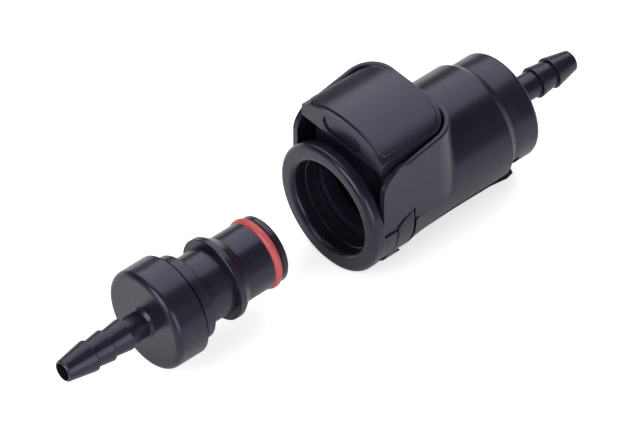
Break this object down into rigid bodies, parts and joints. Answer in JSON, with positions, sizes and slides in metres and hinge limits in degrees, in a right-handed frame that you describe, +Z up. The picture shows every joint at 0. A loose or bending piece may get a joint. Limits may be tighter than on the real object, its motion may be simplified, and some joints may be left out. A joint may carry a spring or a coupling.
{
  "type": "plastic quick disconnect coupling",
  "caption": "Thumb-latch quick disconnect coupling in black plastic: valved socket with hose barb and a valved insert with a red seal ring, pulled out in front.",
  "frame": {"origin": "centre of the socket mouth at its front face", "axes": "+X along the common axis from the insert to the socket's hose barb, +Z up through the thumb button"},
  "size_m": [0.1129, 0.024, 0.0299],
  "materials": {
    "coupling_body": "moulded acetal, satin gloss",
    "thumb_latch": "moulded acetal, polished",
    "body_barb_adapter": "moulded acetal, satin gloss",
    "body_valve_poppet": "moulded acetal",
    "body_valve_seal": "moulded rubber",
    "body_valve_spring": "drawn stainless wire",
    "insert_body": "moulded acetal, satin gloss",
    "insert_barb_cap": "moulded acetal, satin gloss",
    "nose_o_ring": "moulded silicone rubber",
    "insert_valve_poppet": "moulded acetal",
    "insert_valve_seal": "moulded rubber",
    "insert_valve_spring": "drawn stainless wire"
  },
  "bodies": {
    "socket": {"coupling_body": "coupling_body", "body_barb_adapter": "body_barb_adapter", "body_valve_spring": "body_valve_spring"},
    "latch": {"thumb_latch": "thumb_latch"},
    "body_valve": {"body_valve_poppet": "body_valve_poppet", "body_valve_seal": "body_valve_seal"},
    "insert": {"insert_body": "insert_body", "insert_barb_cap": "insert_barb_cap", "nose_o_ring": "nose_o_ring", "insert_valve_spring": "insert_valve_spring"},
    "insert_valve": {"insert_valve_poppet": "insert_valve_poppet", "insert_valve_seal": "insert_valve_seal"}
  },
  "joints": [
    {"name": "insert_slide", "type": "slide", "parent": "socket", "child": "insert", "axis": [1, 0, 0], "range_m": [0, 0.0334]},
    {"name": "latch_press", "type": "slide", "parent": "socket", "child": "latch", "axis": [0, 0, -1], "range_m": [0, 0.0013], "stiffness_N_per_m": 1500, "springref_m": -0.001},
    {"name": "body_valve_open", "type": "slide", "parent": "socket", "child": "body_valve", "axis": [1, 0, 0], "range_m": [0, 0.0028], "deforming": ["body_valve_spring"]},
    {"name": "insert_valve_open", "type": "slide", "parent": "insert", "child": "insert_valve", "axis": [-1, 0, 0], "range_m": [0, 0.0028], "deforming": ["insert_valve_spring"]}
  ],
  "couplings": [
    {"joint": "body_valve_open", "follows": "insert_slide", "ratio": 0.0838},
    {"joint": "insert_valve_open", "follows": "insert_slide", "ratio": 0.0838}
  ]
}
